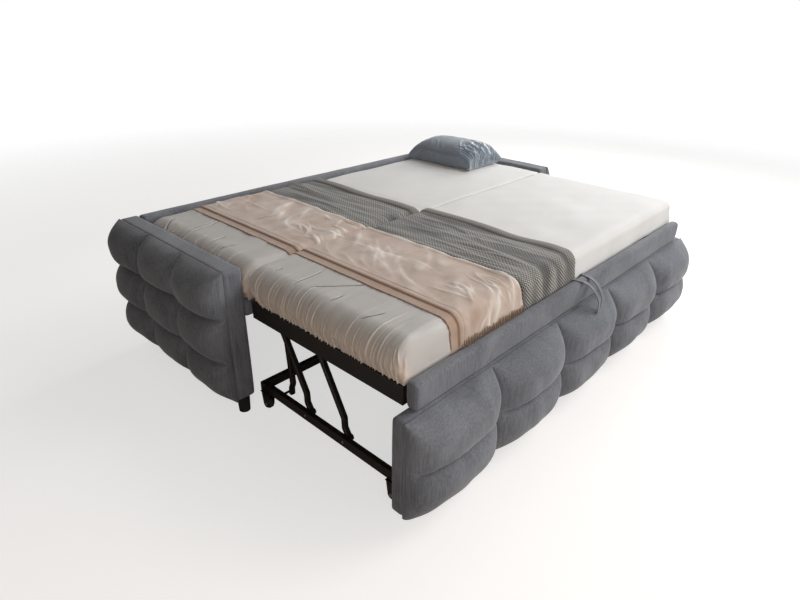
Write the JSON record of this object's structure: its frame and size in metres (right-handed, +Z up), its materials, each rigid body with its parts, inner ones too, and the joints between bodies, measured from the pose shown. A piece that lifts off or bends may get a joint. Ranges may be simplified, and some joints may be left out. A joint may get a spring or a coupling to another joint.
{
  "type": "extendable daybed",
  "caption": "Upholstered daybed with puffed panels and a wheeled pop-up trundle raised beside it, both made up with bedding.",
  "frame": {"origin": "on the floor, under the middle of the opened bed's bounding box", "axes": "+X along the bed towards the pillow end, +Y towards the back panel, +Z up"},
  "size_m": [2.3558, 1.7488, 0.7413],
  "materials": {
    "panel_wood": "rough sawn board, hidden",
    "velvet_upholstery": "soft short-pile velvet, matt, grey-blue",
    "slat_wood": "planed, clear lacquer",
    "black_steel": "satin black powder coat",
    "zinc_steel": "zinc plated",
    "black_plastic": "matt moulded",
    "wheel_plastic": "matt moulded tread",
    "mattress_fabric": "smooth knitted ticking",
    "quilt_satin": "satin weave, soft sheen",
    "beige_plush": "short plush",
    "grey_knit": "basket-like knit in two tones",
    "pillow_satin": "satin, soft sheen",
    "strap_webbing": "woven tape"
  },
  "bodies": {
    "daybed_frame": {"foot_panel_core": "panel_wood", "foot_panel_cover": "velvet_upholstery", "foot_panel_puffs": "velvet_upholstery", "head_panel_core": "panel_wood", "head_panel_cover": "velvet_upholstery", "head_panel_puffs": "velvet_upholstery", "back_panel_core": "panel_wood", "back_panel_cover": "velvet_upholstery", "front_rail_core": "panel_wood", "front_rail_cover": "velvet_upholstery", "slat_cleats": "slat_wood", "main_beam": "black_steel", "main_slats": "slat_wood", "corner_brackets": "black_steel", "bracket_bolts": "zinc_steel", "bed_feet": "black_plastic", "main_mattress": "mattress_fabric", "main_quilt": "quilt_satin", "main_beige_throw": "beige_plush", "main_grey_throw": "grey_knit", "pillow": "pillow_satin"},
    "trundle_base": {"base_rear_rail": "black_steel", "base_front_rail": "black_steel", "base_foot_rail": "black_steel", "base_head_rail": "black_steel", "base_cross_tubes": "black_steel", "caster_brackets": "black_steel", "caster_axles": "zinc_steel", "front_panel_core": "panel_wood", "front_panel_cover": "velvet_upholstery", "front_panel_puffs": "velvet_upholstery", "top_rail_core": "panel_wood", "top_rail_cover": "velvet_upholstery", "rail_posts": "black_steel", "panel_bolts": "zinc_steel", "pull_strap": "strap_webbing", "lower_pivot_pins": "zinc_steel", "prop_pegs": "black_steel"},
    "pop_up_deck": {"deck_rear_rail": "black_steel", "deck_front_rail": "black_steel", "deck_foot_rail": "black_steel", "deck_head_rail": "black_steel", "deck_beam": "black_steel", "deck_slats": "slat_wood", "deck_bosses": "black_steel", "upper_pivot_pins": "zinc_steel", "trundle_mattress": "mattress_fabric", "trundle_quilt": "quilt_satin", "trundle_beige_throw": "beige_plush", "trundle_grey_throw": "grey_knit"},
    "front_link_foot": {"front_link_foot": "black_steel"},
    "front_link_head": {"front_link_head": "black_steel"},
    "rear_link_foot": {"rear_link_foot": "black_steel"},
    "rear_link_head": {"rear_link_head": "black_steel"},
    "prop_foot": {"prop_foot": "black_steel"},
    "caster_wheel_foot_rear": {"caster_wheel_foot_rear": "wheel_plastic"},
    "caster_wheel_foot_front": {"caster_wheel_foot_front": "wheel_plastic"},
    "prop_head": {"prop_head": "black_steel"},
    "caster_wheel_head_rear": {"caster_wheel_head_rear": "wheel_plastic"},
    "caster_wheel_head_front": {"caster_wheel_head_front": "wheel_plastic"}
  },
  "joints": [
    {"name": "base_roll", "type": "slide", "parent": "daybed_frame", "child": "trundle_base", "axis": [0, -1, 0], "range_m": [0, 0.3135]},
    {"name": "deck_lower", "type": "hinge", "parent": "trundle_base", "child": "front_link_foot", "pos_m": [-0.946, -0.424, 0.097], "axis": [-1, 0, 0], "range_deg": [0, 52]},
    {"name": "front_link_head_pivot", "type": "hinge", "parent": "trundle_base", "child": "front_link_head", "pos_m": [0.946, -0.424, 0.097], "axis": [-1, 0, 0], "range_deg": [0, 52.1]},
    {"name": "rear_link_foot_pivot", "type": "hinge", "parent": "trundle_base", "child": "rear_link_foot", "pos_m": [-0.946, -0.217, 0.097], "axis": [-1, 0, 0], "range_deg": [0, 52.1]},
    {"name": "rear_link_head_pivot", "type": "hinge", "parent": "trundle_base", "child": "rear_link_head", "pos_m": [0.946, -0.217, 0.097], "axis": [-1, 0, 0], "range_deg": [0, 52.1]},
    {"name": "deck_level", "type": "hinge", "parent": "front_link_foot", "child": "pop_up_deck", "pos_m": [-0.946, -0.254, 0.44], "axis": [-1, 0, 0], "range_deg": [-52.1, 0]},
    {"name": "prop_foot_swing", "type": "hinge", "parent": "pop_up_deck", "child": "prop_foot", "pos_m": [-0.919, -0.047, 0.44], "axis": [-1, 0, 0], "range_deg": [0, 79.14]},
    {"name": "prop_head_swing", "type": "hinge", "parent": "pop_up_deck", "child": "prop_head", "pos_m": [0.919, -0.047, 0.44], "axis": [-1, 0, 0], "range_deg": [0, 79.14]},
    {"name": "wheel_spin_foot_rear", "type": "hinge", "parent": "trundle_base", "child": "caster_wheel_foot_rear", "pos_m": [-0.969, 0.0315, 0.022], "axis": [1, 0, 0], "continuous": true},
    {"name": "wheel_spin_foot_front", "type": "hinge", "parent": "trundle_base", "child": "caster_wheel_foot_front", "pos_m": [-0.969, -0.6645, 0.022], "axis": [1, 0, 0], "continuous": true},
    {"name": "wheel_spin_head_rear", "type": "hinge", "parent": "trundle_base", "child": "caster_wheel_head_rear", "pos_m": [0.969, 0.0315, 0.022], "axis": [1, 0, 0], "continuous": true},
    {"name": "wheel_spin_head_front", "type": "hinge", "parent": "trundle_base", "child": "caster_wheel_head_front", "pos_m": [0.969, -0.6645, 0.022], "axis": [1, 0, 0], "continuous": true}
  ],
  "couplings": [
    {"joint": "base_roll", "follows": "deck_lower", "m_per_rad": 0.345},
    {"joint": "front_link_head_pivot", "follows": "deck_lower", "ratio": 1},
    {"joint": "rear_link_foot_pivot", "follows": "deck_lower", "ratio": 1},
    {"joint": "rear_link_head_pivot", "follows": "deck_lower", "ratio": 1},
    {"joint": "deck_level", "follows": "deck_lower", "ratio": -1},
    {"joint": "prop_foot_swing", "follows": "deck_lower", "ratio": 1.52},
    {"joint": "prop_head_swing", "follows": "deck_lower", "ratio": 1.52}
  ]
}
